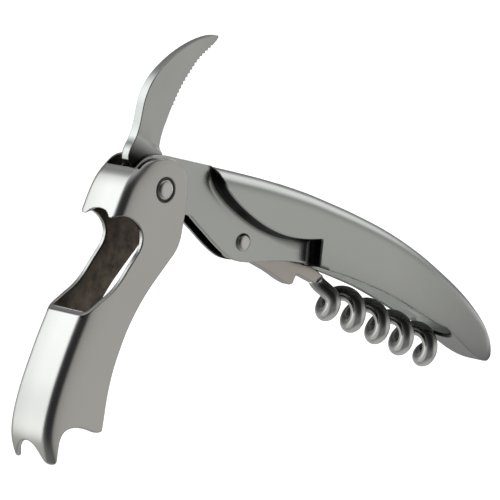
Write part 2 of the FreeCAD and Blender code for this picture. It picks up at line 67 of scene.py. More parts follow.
WINDOW = [(-13.7, -5.15), (-13.35, -4.55), (-12.6, -4.15), (-11.5, -4.1), (-10.2, -4.4), (-8.7, -5.2), (-7.4, -6.35), (-6.5, -7.7),
          (-6.2, -9.0), (-6.35, -10.3), (-7.1, -11.7), (-8.5, -13.25), (-10.1, -15.0), (-11.9, -17.0), (-14.2, -18.9),
          (-17.6, -20.75), (-20.2, -22.15)]
BLADE_SPINE = [(-5.8, 6.95), (-5.3, 8.3), (-4.5, 9.5), (-3.6, 10.9), (-2.85, 12.8), (-2.25, 15.2), (-1.6, 17.6), (-0.35, 20.1),
               (1.7, 22.55), (4.6, 24.8), (8.1, 26.8), (11.7, 28.25), (15.0, 29.12), (17.7, 29.4), (19.3, 29.3)]
BLADE_EDGE = [(19.85, 28.65), (19.2, 27.95), (17.2, 26.75), (14.8, 25.2), (13.2, 23.8), (12.0, 22.5), (10.8, 21.2), (9.65, 19.8),
              (8.6, 18.3), (7.6, 16.7), (6.5, 14.9), (5.5, 12.95), (4.5, 11.0), (3.75, 8.8), (3.5, 7.3), (3.8, 5.6)]
SHANK_LOW = [(30.6, -19.1), (33.0, -20.35), (36.4, -22.15), (39.7, -24.2), (42.3, -25.5), (43.25, -25.35), (44.1, -23.95),
             (44.8, -23.45), (45.6, -23.85), (48.2, -25.15), (50.45, -26.25)]
SHANK_HIGH = [(53.0, -25.0), (50.4, -23.1), (47.3, -21.55), (43.0, -20.4), (38.0, -18.9), (33.5, -16.9), (30.6, -14.9)]
GRIP_WIDTH = [(8, 5.95), (60, 5.95), (74, 5.9), (84, 5.7), (92, 5.3), (98, 4.8), (103, 4.1), (106.5, 3.35), (109, 2.5), (110.5, 1.75),
              (111.35, 1.1)]
GRIP_LOW_WIDTH = [(8, 5.45), (74, 5.45), (84, 5.3), (92, 4.9), (98, 4.2), (103, 3.3), (106.5, 2.55), (109, 1.8), (110.5, 1.2),
                  (111.35, 0.8)]
GRIP_FLOOR = [(10.0, -10.0), (28.0, -15.0), (46.9, -21.6)] + GRIP_LOW[1:]
CROWN = [(8, 6.2), (90, 6.2), (98, 5.4), (104, 3.9), (108, 2.4), (110.3, 1.3), (111.35, 0.8)]

LEVER_W, LEVER_T = 11.8, 1.1
FRONT_HALF, GAP_HALF = 2.45, 1.45
GRIP_WALL, SLOT_HALF, SLOT_END_X, BLADE_SLOT_END_X = 0.7, 4.75, 95.3, 36.8
WORM_PIVOT = (26.3, -14.2)
WIRE_R, COIL_R, PITCH, TURNS, WORM_S0 = 1.52, 3.02, 9.03, 4.85, -10.29
WORM_AXIS_PT, WORM_AXIS_DEG = (61.7, -33.33), -24.37


# ------------------------------------------------------------------ curve and field helpers
def pchip(table, x):
    t = np.array(table, float)
    X, Y = t[:, 0], t[:, 1]
    h = np.diff(X)
    d = np.diff(Y) / h
    m = np.zeros(len(X))
    m[0], m[-1] = d[0], d[-1]
    for i in range(1, len(X) - 1):
        if d[i - 1] * d[i] > 0:
            m[i] = 3 * (h[i - 1] + h[i]) / ((2 * h[i] + h[i - 1]) / d[i - 1] + (h[i] + 2 * h[i - 1]) / d[i])
    x = np.clip(np.asarray(x, float), X[0], X[-1])
    i = np.clip(np.searchsorted(X, x, side="right") - 1, 0, len(X) - 2)
    u = (x - X[i]) / h[i]
    return ((2 * u ** 3 - 3 * u ** 2 + 1) * Y[i] + (u ** 3 - 2 * u ** 2 + u) * h[i] * m[i] +
            (-2 * u ** 3 + 3 * u ** 2) * Y[i + 1] + (u ** 3 - u ** 2) * h[i] * m[i + 1])


def smooth_curve(points, step=0.2, sigma=0.7):
    """dense polyline through the points, evened out along its length, ends kept"""
    p = np.array(points, float)
    e = np.vstack([2 * p[0] - p[1], p, 2 * p[-1] - p[-2]])
    out = []
    for a, b, c, d in zip(e[:-3], e[1:-2], e[2:-1], e[3:]):
        n = max(2, int(np.linalg.norm(c - b) / 0.05))
        t = np.arange(n)[:, None] / n
        k0, k1, k2 = np.linalg.norm(b - a) ** 0.5, np.linalg.norm(c - b) ** 0.5, np.linalg.norm(d - c) ** 0.5
        m1 = (c - b) + k1 * ((b - a) / k0 - (c - a) / (k0 + k1))
        m2 = (c - b) + k1 * ((d - c) / k2 - (d - b) / (k1 + k2))
        out.append((2 * t ** 3 - 3 * t ** 2 + 1) * b + (t ** 3 - 2 * t ** 2 + t) * m1 +
                   (-2 * t ** 3 + 3 * t ** 2) * c + (t ** 3 - t ** 2) * m2)
    q = np.vstack(out + [p[-1:]])
    s = np.concatenate([[0], np.cumsum(np.linalg.norm(np.diff(q, axis=0), axis=1))])
    n = max(8, int(s[-1] / step))
    u = np.linspace(0, s[-1], n)
    r = np.stack([np.interp(u, s, q[:, 0]), np.interp(u, s, q[:, 1])], 1)
    if sigma:
        w = int(3 * sigma / (s[-1] / n)) + 1
        k = np.exp(-0.5 * (np.arange(-w, w + 1) * (s[-1] / n) / sigma) ** 2)
        k /= k.sum()
        pad = np.vstack([2 * r[0] - r[w:0:-1], r, 2 * r[-1] - r[-2:-w - 2:-1]])
        r = np.stack([np.convolve(pad[:, 0], k, "valid"), np.convolve(pad[:, 1], k, "valid")], 1)
    return r


def ring_arc(cx, cz, r, a0, a1, n=40):
    a = np.radians(np.linspace(a0, a1, n))
    return np.stack([cx + r * np.cos(a), cz + r * np.sin(a)], 1)


def join(*parts):
    return np.vstack([np.atleast_2d(np.array(p, float)) for p in parts])


def sdf2(poly, X, Z):
    """signed distance to a closed polygon, negative inside"""
    a = poly
    b = np.roll(poly, -1, axis=0)
    keep = np.linalg.norm(b - a, axis=1) > 1e-9
    a, b = a[keep], b[keep]
    best = np.full(np.broadcast(X, Z).shape, 1e9, np.float32)
    odd = np.zeros(best.shape, bool)
    X = X.astype(np.float32)
    Z = Z.astype(np.float32)
    for (ax, az), (bx, bz) in zip(a, b):
        ex, ez = bx - ax, bz - az
        px, pz = X - ax, Z - az
        t = np.clip((px * ex + pz * ez) / (ex * ex + ez * ez), 0, 1)
        d = (px - ex * t) ** 2 + (pz - ez * t) ** 2
        np.minimum(best, d, out=best)
        if az != bz:
            c = ((Z >= az) != (Z >= bz)) & (X < ax + (Z - az) * ex / ez)
            odd ^= c
    d = np.sqrt(best)
    return np.where(odd, -d, d)


def cut_max(a, b, r):
    """intersection with an edge rounded to r"""
    return np.minimum(np.maximum(a, b), -r) + np.sqrt(np.maximum(a + r, 0) ** 2 + np.maximum(b + r, 0) ** 2)


def join_min(a, b, r):
    """union with an inside corner filled to r"""
    return np.maximum(np.minimum(a, b), r) - np.sqrt(np.maximum(r - a, 0) ** 2 + np.maximum(r - b, 0) ** 2)


class Grid:
    def __init__(s, lo, hi, h):
        s.lo = np.array(lo, float)
        s.h = h
        n = np.ceil((np.array(hi, float) - s.lo) / h).astype(int) + 1
        # the middle plane falls between two layers, so the two halves match
        s.x = s.lo[0] + h * np.arange(n[0])
        s.y = h * (np.arange(2 * ((n[1] + 1) // 2)) - (2 * ((n[1] + 1) // 2) - 1) / 2.0)
        s.z = s.lo[2] + h * np.arange(n[2])
        s.lo[1] = s.y[0]
        s.X2, s.Z2 = s.x[:, None], s.z[None, :]
        s.X, s.Y, s.Z = s.x[:, None, None], s.y[None, :, None], s.z[None, None, :]
        s.A = np.abs(s.Y)

    def side(s, poly):
        return sdf2(poly, s.X2, s.Z2)[:, None, :]


def nets(F, g):
    """closed quad mesh of F = 0"""
    F = np.ascontiguousarray(F, np.float32)
    ins = F < 0
    n = np.zeros(tuple(k - 1 for k in F.shape), np.int8)
    for dx in (0, 1):
        for dy in (0, 1):
            for dz in (0, 1):
                n += ins[dx:F.shape[0] - 1 + dx, dy:F.shape[1] - 1 + dy, dz:F.shape[2] - 1 + dz]
    act = (n > 0) & (n < 8)
    I = np.argwhere(act)
    idx = np.full(n.shape, -1, np.int32)
    idx[act] = np.arange(len(I))
    corner = {}
    for c in range(8):
        o = (c & 1, (c >> 1) & 1, (c >> 2) & 1)
        corner[c] = F[I[:, 0] + o[0], I[:, 1] + o[1], I[:, 2] + o[2]]
    acc = np.zeros((len(I), 3))
    cnt = np.zeros(len(I))
    for c in range(8):
        for ax in range(3):
            if c >> ax & 1:
                continue
            e = c | (1 << ax)
            fa, fb = corner[c], corner[e]
            m = (fa < 0) != (fb < 0)
            t = np.where(m, fa / np.where(m, fa - fb, 1), 0)
            for k in range(3):
                base = float((c >> k) & 1)
                acc[:, k] += np.where(m, base + (t if k == ax else 0), 0)
            cnt += m
    V = I + acc / cnt[:, None]
    quads = []
    for ax in range(3):
        u, w = (ax + 1) % 3, (ax + 2) % 3
        sl_a = [slice(None)] * 3
        sl_b = [slice(None)] * 3
        sl_a[ax], sl_b[ax] = slice(0, -1), slice(1, None)
        A, B = ins[tuple(sl_a)], ins[tuple(sl_b)]
        E = np.argwhere(A != B)
        E = E[(E[:, u] > 0) & (E[:, w] > 0) & (E[:, u] < F.shape[u] - 1) & (E[:, w] < F.shape[w] - 1)]
        up = A[E[:, 0], E[:, 1], E[:, 2]]
        q = []
        for du, dw in ((-1, -1), (0, -1), (0, 0), (-1, 0)):
            c = E.copy()
            c[:, u] += du
            c[:, w] += dw
            q.append(idx[c[:, 0], c[:, 1], c[:, 2]])
        q = np.stack(q, 1)
        q[~up] = q[~up][:, ::-1]
        quads.append(q)
    Q = np.vstack(quads)

    def value(P):
        i = np.clip(np.floor(P).astype(int), 0, np.array(F.shape) - 2)
        f = P - i
        s = 0
        for c in range(8):
            o = np.array([c & 1, (c >> 1) & 1, (c >> 2) & 1])
            w = np.prod(np.where(o == 1, f, 1 - f), axis=1)
            s = s + w * F[i[:, 0] + o[0], i[:, 1] + o[1], i[:, 2] + o[2]]
        return s

    for _ in range(3):
        v0 = value(V)
        G = np.stack([(value(V + d) - value(V - d)) for d in (np.array([.5, 0, 0]), np.array([0, .5, 0]), np.array([0, 0, .5]))], 1)
        gg = np.maximum((G ** 2).sum(1), 1e-6)
        stp = np.clip(v0 / gg, -1.5, 1.5)[:, None] * G
        L = np.linalg.norm(stp, axis=1, keepdims=True)
        V = V - stp * np.minimum(1, 0.5 / np.maximum(L, 1e-9))
    return g.lo + V * g.h, Q


def mesh_object(name, V, Q, body, cad, mat, attrs=None):
    me = bpy.data.meshes.new(name)
    V = row(V).astype(np.float32)
    Q = np.asarray(Q)
    me.vertices.add(len(V))
    me.vertices.foreach_set("co", V.ravel())
    k = Q.shape[1]
    me.loops.add(len(Q) * k)
    me.loops.foreach_set("vertex_index", Q.astype(np.int32).ravel())
    me.polygons.add(len(Q))
    me.polygons.foreach_set("loop_start", np.arange(0, len(Q) * k, k, dtype=np.int32))
    me.polygons.foreach_set("loop_total", np.full(len(Q), k, np.int32))
    me.polygons.foreach_set("use_smooth", np.ones(len(Q), bool))
    me.update(calc_edges=True)
    me.validate()
    for an, av in (attrs or {}).items():
        a = me.attributes.new(an, "FLOAT", "POINT")
        a.data.foreach_set("value", np.asarray(av, np.float32))
    ob = bpy.data.objects.new(name, me)
    bpy.context.scene.collection.objects.link(ob)
    me.materials.append(mat)
    if cad:
        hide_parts(*cad)
    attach(ob, body)
    return ob


# ------------------------------------------------------------------ materials
def steel(name, base, rough, spread=0.015, grain=2500.0, bump=0.015, mottle=0.05, dark=None, dark_rough=0.6, brush=None, pale=None, painted=True):
    """satin steel: fine grain in roughness and bump, slow drift in tone; the 'shade' attribute carries
    painted shade in recesses, between parts and on sides turned from the light (1 is unshaded), towards a mottled dark
    colour;
    'pale' a dull tone mixed in (1 is full): light in the handle's hollow, painting in light, near black in the
    lever's rivet sink, painting shade; painted=False is for the CAD nodes, which carry neither"""
    m = bpy.data.materials.new(name)
    m.use_nodes = True
    nt = m.node_tree
    nt.nodes.clear()
    N = nt.nodes.new
    L = nt.links.new
    out = N("ShaderNodeOutputMaterial")
    b = N("ShaderNodeBsdfPrincipled")
    L(b.outputs[0], out.inputs[0])
    b.inputs["Metallic"].default_value = 1.0
    tc = N("ShaderNodeTexCoord")
    mp = N("ShaderNodeMapping")
    L(tc.outputs["Object"], mp.inputs[0])
    if brush:
        mp.inputs["Scale"].default_value = brush
    slow = N("ShaderNodeTexNoise")
    slow.inputs["Scale"].default_value = 45.0
    slow.inputs["Detail"].default_value = 4.0
    L(tc.outputs["Object"], slow.inputs[0])
    fine = N("ShaderNodeTexNoise")
    fine.inputs["Scale"].default_value = grain
    fine.inputs["Detail"].default_value = 3.0
    L(mp.outputs[0], fine.inputs[0])
    # tone
    lo = [c * (1 - mottle) for c in base]
    hi = [min(1.0, c * (1 + mottle)) for c in base]
    mix = N("ShaderNodeMix")
    mix.data_type = "RGBA"
    mix.inputs[6].default_value = lo + [1]
    mix.inputs[7].default_value = hi + [1]
    L(slow.outputs[0], mix.inputs[0])
    att = N("ShaderNodeAttribute")
    att.attribute_name = "shade"
    dk = N("ShaderNodeMix")
    dk.data_type = "RGBA"
    dark = list(dark or [0.004, 0.004, 0.004])
    # painted shade colour: the dark colour, mottled by noise, that the 'shade' attribute mixes in
    shade_tone = N("ShaderNodeMix")
    shade_tone.data_type = "RGBA"
    shade_tone.inputs[6].default_value = [c * 0.45 for c in dark] + [1]
    shade_tone.inputs[7].default_value = [c * 1.75 for c in dark] + [1]
    patch = N("ShaderNodeTexNoise")
    patch.inputs["Scale"].default_value = 330.0
    patch.inputs["Detail"].default_value = 6.0
    patch.inputs["Roughness"].default_value = 0.65
    L(tc.outputs["Object"], patch.inputs[0])
    pr = N("ShaderNodeMapRange")
    pr.inputs["From Min"].default_value = 0.32
    pr.inputs["From Max"].default_value = 0.68
    L(patch.outputs[0], pr.inputs[0])
    L(pr.outputs[0], shade_tone.inputs[0])
    L(shade_tone.outputs[2], dk.inputs[6])
    L(mix.outputs[2], dk.inputs[7])
    L(att.outputs["Fac"], dk.inputs[0])
    colour = dk.outputs[2] if painted else mix.outputs[2]
    if pale:
        at2 = N("ShaderNodeAttribute")
        at2.attribute_name = "pale"
        pm = N("ShaderNodeMix")
        pm.data_type = "RGBA"
        pm.inputs[7].default_value = list(pale) + [1]
        L(colour, pm.inputs[6])
        L(at2.outputs["Fac"], pm.inputs[0])
        colour = pm.outputs[2]
        inv = N("ShaderNodeMapRange")
        inv.inputs["To Min"].default_value = 1.0
        inv.inputs["To Max"].default_value = 0.15
        L(at2.outputs["Fac"], inv.inputs[0])
        L(inv.outputs[0], b.inputs["Metallic"])
    L(colour, b.inputs["Base Color"])
    # roughness
    if not painted:
        for n in (dk, shade_tone, patch, pr, att):
            nt.nodes.remove(n)
    mr = N("ShaderNodeMapRange")
    mr.inputs["From Min"].default_value = 0.3
    mr.inputs["From Max"].default_value = 0.7
    mr.inputs["To Min"].default_value = rough - spread
    mr.inputs["To Max"].default_value = rough + spread
    L(fine.outputs[0], mr.inputs[0])
    if painted:
        rmix = N("ShaderNodeMix")
        rmix.data_type = "FLOAT"
        rmix.inputs[2].default_value = dark_rough
        L(mr.outputs[0], rmix.inputs[3])
        L(att.outputs["Fac"], rmix.inputs[0])
        L(rmix.outputs[0], b.inputs["Roughness"])
    else:
        L(mr.outputs[0], b.inputs["Roughness"])
    bp = N("ShaderNodeBump")
    bp.inputs["Strength"].default_value = bump
    bp.inputs["Distance"].default_value = 0.00002
    L(fine.outputs[0], bp.inputs["Height"])
    L(bp.outputs[0], b.inputs["Normal"])
    return m


# the handle's pale tone is a dull light colour that paints in light in its hollow; the lever's near-black one paints
# shade in the rivet sink
M_handle = steel("handle satin steel", [0.335, 0.348, 0.338], 0.25, dark=[0.008, 0.008, 0.007], dark_rough=0.38, pale=[0.72, 0.74, 0.71])
M_lever = steel("lever satin steel", [0.352, 0.352, 0.338], 0.24, dark=[0.058, 0.047, 0.037], dark_rough=0.45, pale=[0.010, 0.009, 0.008])
M_blade = steel("blade ground steel", [0.32, 0.328, 0.318], 0.25, spread=0.015, grain=1800.0, mottle=0.14, dark=[0.02, 0.02, 0.018], brush=(1.0, 1.0, 4.0), bump=0.008)
M_shank = steel("shank steel", [0.33, 0.31, 0.29], 0.30, mottle=0.14)
M_worm = steel("worm steel", [0.40, 0.40, 0.385], 0.13, spread=0.02, mottle=0.14, dark=[0.03, 0.03, 0.028], dark_rough=0.22)
M_rivet = steel("rivet steel", [0.42, 0.42, 0.41], 0.24, mottle=0.10)
M_spacer = steel("spacer steel", [0.16, 0.16, 0.155], 0.35, painted=False)
M_shim = steel("shim brass", [0.42, 0.32, 0.15], 0.35, painted=False)


# ------------------------------------------------------------------ handle
def grip_field(g, inset=0.0, drop=0.0):
    x = g.X
    zt = pchip(HANDLE_TOP, x) - drop
    zl = pchip(GRIP_FLOOR, x)
    wide = np.maximum(pchip(GRIP_WIDTH, x) - inset, 0.4)
    low = np.maximum(pchip(GRIP_LOW_WIDTH, x) - inset, 0.3)
    crown = pchip(CROWN, x)
    zc = zt - crown
    deep = np.maximum(zc - zl, 0.4)
    t = np.clip((zc - g.Z) / deep, 0, 1.15)
    w = wide - (wide - low) * t * t
    n = 2.35
    q = ((g.A / w) ** n + (np.maximum(g.Z - zc, 0) / crown) ** n) ** (1 / n)
    return (q - 1) * np.sqrt(w * crown).clip(0.8, 6.2)


def handle():
    h = 0.24
    g = Grid((-7.6, -6.9, -53.0), (112.6, 6.9, 8.0), h)
    step = smooth_curve(STEP[1:], sigma=0.8)
    low = smooth_curve(GRIP_LOW, sigma=1.0)
    grip_side = join([(STEP[0][0], 14), (16.62, 3.0)], step, [GRIP_LOW[0]], low[1:],
                     smooth_curve([(109.4, -51.86), (110.3, -51.75), (111.0, -51.25), (111.35, -50.4)], 0.1, 0),
                     [(111.36, -50.3), (115, -50.3), (115, 14)])
    P = g.side(grip_side)
    outer = cut_max(grip_field(g), P, 0.28)
    top = np.array([(x, float(pchip(HANDLE_TOP, x)) - 3.4 * min(1.0, max(0.0, (x - 16.7) / 6.0))) for x in np.arange(0, 52, 0.25)])
    front_side = join(top, [(52, -15), (47.4, -15.0), (47.4, -21.4)], smooth_curve(FRONT_LOW, sigma=0.8)[::-1],
                      [(10.7, -7.0), (9.6, -6.6)], ring_arc(0, 0, 6.6, -90, -270, 60))
    Ff = g.side(front_side)
    front = cut_max(g.A - FRONT_HALF + 0 * g.Z, Ff, 0.30)
    F = join_min(outer, front, 1.5 * np.clip((pchip(HANDLE_TOP, g.X) - 0.9 - g.Z) / 2.5, 0.02, 1))
    # hollow
    cav = np.maximum(grip_field(g, GRIP_WALL, 0.8), P + 0.75)
    cav = np.maximum(cav, g.X - 104.5)
    F = cut_max(F, -cav, 0.12)
    sx = STEP[-1][0] + GRIP_WALL
    # underside slot
    xs = SLOT_END_X - SLOT_HALF
    cap = np.sqrt(np.maximum(g.X - xs, 0) ** 2 + g.Y ** 2) - SLOT_HALF
    slot = np.maximum(cap, np.maximum(sx - g.X, g.Z - (pchip(GRIP_FLOOR, g.X) + 2.2)))
    F = cut_max(F, -slot, 0.35)
    # fork gap and blade slot
    zt = pchip(HANDLE_TOP, g.X)
    gap = np.maximum(g.A - GAP_HALF, np.maximum(g.X - (sx + 1.0), np.where(g.X < BLADE_SLOT_END_X, -50.0, g.Z - (zt - 1.1))))
    cap2 = np.sqrt(np.maximum(g.X - BLADE_SLOT_END_X, 0) ** 2 + g.Y ** 2) - GAP_HALF
    cap2 = np.maximum(cap2, (zt - 8) - g.Z)
    F = cut_max(F, -np.minimum(gap, cap2), 0.22)
    for (cx, cz), r in (((0, 0), 1.75), (WORM_PIVOT, 1.45)):
        F = np.maximum(F, r - np.sqrt((g.X - cx) ** 2 + (g.Z - cz) ** 2))
    V, Q = nets(F, g)
    x, y, z = V.T
    # painted light and shade in the recesses: painted shade up in the crown and by the step; the hollow inside is dull
    # and paler by the lower edges, painting in light that comes in through the slot
    class At:
        pass

    v = At()
    v.X, v.A, v.Z = x, np.abs(y), z
    skin = grip_field(v)
    inside = np.clip((-skin - 0.30) / 0.12, 0, 1) * (x > 46.5) * (x < 106)
    rise = z - pchip(GRIP_FLOOR, x)
    ds = sdf2(grip_side, x, z)
    inside = inside * np.clip((-ds - 0.30) / 0.12, 0, 1)
    ay = np.abs(y)
    wall = np.clip((5.72 - ay) / 0.35, 0, 1) * (x < 50) * (x > 12)
    reach = 1.35 + 1.3 * np.clip((x - 34) / 8.0, 0, 1)
    soft = np.clip((ds + 0.05) / 0.25, 0, 1) * np.clip(1 - (ds - 0.15) / reach, 0, 1) ** 1.1 * (ay > 2.2) * (x < 50)
    dark = np.maximum(wall * (np.abs(ds) < 0.6) * 0.97, soft * 0.95) * np.clip((4.2 - z) / 0.8, 0, 1)
    bright = np.clip((x - 48.2) / 0.6, 0, 1) * (x < 104.8) * inside
    dark = dark * (1 - bright)
    # painted shade on the lip round the end of the underside slot
    lipd = np.abs(np.hypot(np.maximum(x - (SLOT_END_X - SLOT_HALF), 0), y) - SLOT_HALF)
    lip = np.clip(1.3 - lipd / 0.45, 0, 1) * (rise < 1.6) * (skin < -0.04) * np.clip((x - 78) / 8.0, 0, 1) * (y < 2.5)
    bright = bright * (1 - lip)
    dark = np.maximum(dark, lip)
    # painted shade in the fork gap and on the far fork slab's front
    gapm = (ay < 1.62) & (x < 48) & (z < pchip(HANDLE_TOP, x) - 0.6)
    dark = np.maximum(dark, gapm * 1.0)
    dark = np.maximum(dark, (y > 0.4) * (x < -1.0) * 0.95)
    # painted shade: slow fall of tone towards the tail, darker still at its nose, and towards the lower edge
    drift = 0.42 * np.clip((x - 70) / 36.0, 0, 1) ** 1.2 + 0.14 * np.exp(-np.maximum(rise, 0) / 3.0) * (x > 47)
    drift = drift + 0.4 * np.clip((x - 108.0) / 3.0, 0, 1)
    dark = np.maximum(dark, drift * (1 - inside) * np.clip((x - 60) / 20.0, 0, 1) + drift * (1 - inside) * (ay > 2.6) * np.clip((80 - x) / 20.0, 0, 1))
    shade = 1 - np.clip(dark, 0, 1)
    return mesh_object("handle_shell", V, Q, "handle", ["handle_body"], M_handle, {"shade": shade, "pale": bright})


# ------------------------------------------------------------------ lever
def lever():
    h = 0.2
    g = Grid((-33.0, -6.8, -53.0), (8.0, 6.8, 8.0), h)
    ho = LEVER_W / 2
    web = smooth_curve(WEB, sigma=0.8)
    d0 = web[0] - web[3]
    d1 = web[-1] - web[-4]
    ext = join([web[0] + d0 / np.linalg.norm(d0) * 8], web, [web[-1] + d1 / np.linalg.norm(d1) * 6])
    W = g.side(join(ext, [(30, -70), (30, 30), (ext[0][0], 30)]))
    back = smooth_curve(EAR_BACK, sigma=0.5)
    c = 0.70710678
    top = smooth_curve([(0.0, 6.35), (-1.8, 6.42), (-3.8, 6.2), (-5.4, 5.72), (-6.7, 5.0)], 0.1, 0.2)
    foot = smooth_curve([(-17.6, -47.2)] + FOOT, 0.15, 0.35)
    prof = join([(-14, -3.0)], [(-11.5, 2.0), (-7.6, 4.35)], top[::-1], ring_arc(0, 0, 6.35, 90, 0, 40), back, [(-16.5, -46.9), (-16.75, -47.15)],
                foot, [(-28.9, -51.75), (-29.3, -51.86), (-29.8, -51.75), (-30.3, -51.4)], [(-34, -51.0), (-36, -30), (-24, -10)])
    P = g.side(prof)
    outer = cut_max(g.A - ho + 0 * g.Z, W, 2.0)
    inner = cut_max(g.A - (ho - LEVER_T) + 0 * g.Z, W + LEVER_T, 0.9)
    # the web stops square across the sheet at the top
    lidx = np.array([(-6.7, 5.0), (-5.99, 4.17), (-4.0, 3.0), (20, 3.0), (20, 30), (-20, 30), (-9.6, 8.4)])
    lid = np.maximum(g.side(lidx), g.A - (ho - LEVER_T))
    F = cut_max(outer, P, 0.42)
    F = cut_max(F, -inner, 0.22)
    F = cut_max(F, -lid, 0.15)
    win = smooth_curve(WINDOW, 0.15, 0.3)
    wf = join(win, [(-22.4, -23.1), (-40.0, -23.1), (-40.0, -5.15)])
    F = cut_max(F, -(g.side(wf) + 0 * g.Y), 0.14)
    yz = smooth_curve([(-4.05, -5.4), (-3.75, -5.2), (-3.3, -4.6), (-2.6, -3.85), (-1.6, -3.3), (0.0, -3.1), (1.6, -3.3), (2.6, -3.85),
                       (3.3, -4.6), (3.75, -5.2), (4.05, -5.4)], 0.15, 0.2)
    Y2, Z2 = g.y[:, None], g.z[None, :]
    ar = sdf2(join(yz, [(4.05, -5.6), (-4.05, -5.6)]), Y2, Z2)[None, :, :]
    ar = np.maximum(ar, g.X + 10.4)
    F = cut_max(F, -ar, 0.15)
    yz = smooth_curve([(-4.9, -53.4), (-4.75, -53.0), (-4.35, -51.9), (-3.75, -50.7), (-3.0, -49.4), (-2.0, -48.2), (-1.0, -47.65), (0.0, -47.5),
                       (1.0, -47.65), (2.0, -48.2), (3.0, -49.4), (3.75, -50.7), (4.35, -51.9), (4.75, -53.0), (4.9, -53.4)], 0.15, 0.3)
    yz = yz + np.array([0.25, 0])
    ar = sdf2(join(yz, [(5.1, -56), (-4.7, -56)]), Y2, Z2)[None, :, :]
    ar = np.maximum(ar, g.X + 26.0)
    F = cut_max(F, -ar, 0.2)
    rr = np.sqrt(g.X ** 2 + g.Z ** 2)
    F = np.maximum(F, 1.80 - rr)
    sink = np.maximum(rr - 2.55, (ho - 0.45) - g.A)
    F = cut_max(F, -sink, 0.12)
    V, Q = nets(F, g)
    x, y, z = V.T
    ay = np.abs(y)
    dw = -sdf2(join(ext, [(30, -70), (30, 30), (ext[0][0], 30)]), x, z)
    # painted shade: dark inside the channel, on the window sill, along the bend of the near cheek and over the far
    # side of the web; painted black in the rivet's sink, ring and floor
    inside = np.clip((ho - LEVER_T + 0.12 - ay) / 0.1, 0, 1) * np.clip((dw - LEVER_T + 0.12) / 0.1, 0, 1)
    r = np.hypot(x, z)
    ringd = np.clip((2.62 - r) / 0.08, 0, 1) * (ay > ho - 0.5) * (ay < ho - 0.04)
    floor = (r < 2.5) * (ay > ho - 0.6) * (ay < ho - 0.2)
    sill = (np.abs(z + 23.1) < 0.3) * np.clip((dw - 0.08) / 0.12, 0, 1) * np.clip((ho - 0.4 - ay) / 0.3, 0, 1) * (z > -23.4)
    bend = 0.36 * np.exp(-np.maximum(dw - 1.5, 0) / 1.5) * (ay > ho - 0.25)
    far = 0.20 * np.clip((y + 0.5) / 6.0, 0, 1) ** 1.3 * (dw < 0.4)
    shade = 1 - 0.97 * np.clip(np.maximum(np.maximum(inside, sill * 0.9), bend + far), 0, 1)
    black = np.clip(np.maximum(ringd, floor * 1.0), 0, 1)
    return mesh_object("lever_channel", V, Q, "lever", ["lever"], M_lever, {"shade": shade, "pale": black})


# ------------------------------------------------------------------ foil blade
def blade():
    h = 0.13
    g = Grid((-7.2, -1.9, -7.2), (21.4, 1.9, 31.0), h)
    spine = smooth_curve(BLADE_SPINE, 0.12, 0.6)
    edge = smooth_curve(BLADE_EDGE, 0.05, 0.5)
    plain = edge.copy()
    # scalloped teeth along the cutting edge
    s = np.concatenate([[0], np.cumsum(np.linalg.norm(np.diff(edge, axis=0), axis=1))])
    d = np.gradient(edge, axis=0)
    d /= np.linalg.norm(d, axis=1)[:, None]
    nrm = np.stack([-d[:, 1], d[:, 0]], 1)
    ph = (s / 0.95) % 1.0
    depth = 0.50 * (1 - np.abs(np.sin(np.pi * ph)) ** 0.7)
    env = np.clip((s - 1.4) / 1.0, 0, 1) * np.clip((19.2 - s) / 1.2, 0, 1)
    edge = edge - nrm * ((0.10 - depth) * env)[:, None] * 1.0
    a0, a1 = 137.0, 42.0
    prof = join(spine, [(19.75, 29.12), (19.97, 28.85)], edge, ring_arc(0, 0, 6.2, a1, a0 - 360, 90), [(-5.2, 5.2), (-5.78, 6.1)])
    P = g.side(prof)
    # distance back from the cutting edge, for the hollow-ground face
    best = np.full((len(g.x), len(g.z)), 1e9)
    for q in plain[::3]:
        best = np.minimum(best, (g.X2 - q[0]) ** 2 + (g.Z2 - q[1]) ** 2)
    de = np.sqrt(best)[:, None, :]
    # plunge line between the ground blade and the tang
    ax, az, bx, bz = -3.35, 10.7, 2.9, 7.3
    L = math.hypot(bx - ax, bz - az)
    pl = ((g.X - ax) * -(bz - az) + (g.Z - az) * (bx - ax)) / L
    k = np.clip(pl / 1.5 + 0.5, 0, 1)
    k = k * k * (3 - 2 * k)
    ground = 0.30 + 0.66 * np.clip(de / 6.5, 0, 1) ** 0.8
    # the back stays at full thickness and thins only towards the tip
    sp = np.full((len(g.x), len(g.z)), 1e9)
    for q in spine[::3]:
        sp = np.minimum(sp, (g.X2 - q[0]) ** 2 + (g.Z2 - q[1]) ** 2)
    ds = np.sqrt(sp)[:, None, :]
    full = 1.13 - 0.42 * np.clip((g.Z - 19.0) / 10.0, 0, 1) ** 1.5
    face = ground + (full - ground) * np.clip(1 - ds / np.maximum(ds + de, 0.01), 0, 1) ** 1.2
    half = 1.15 * (1 - k) + np.minimum(face, full) * k
    F = cut_max((g.A - half) * 0.97, P, 0.12)
    F = np.maximum(F, 1.80 - np.sqrt(g.X ** 2 + g.Z ** 2))
    V, Q = nets(F, g)
    x, y, z = V.T
    pv = ((x - ax) * -(bz - az) + (z - az) * (bx - ax)) / L
    # painted shade: slightly darker just past the plunge line on the blade side, darker over the tang towards its root
    # between the handle's cheeks, and a dark band on the back near the root
    flat = np.clip((np.abs(y) - 0.75) / 0.2, 0, 1)
    shade = 1 - flat * (0.20 * np.exp(-np.maximum(pv, 0) / 1.6) * np.clip(pv / 0.6, 0, 1) + np.clip((-pv - 0.3) / 4.2, 0, 1) ** 0.8)
    back = np.clip(1 - np.abs(z - 9.3) / 1.3, 0, 1) * (x < -3) * (1 - flat)
    shade = np.clip(shade - 0.6 * back, 0.02, 1)
    return mesh_object("serrated_blade", V, Q, "blade", ["foil_blade"], M_blade, {"shade": shade})


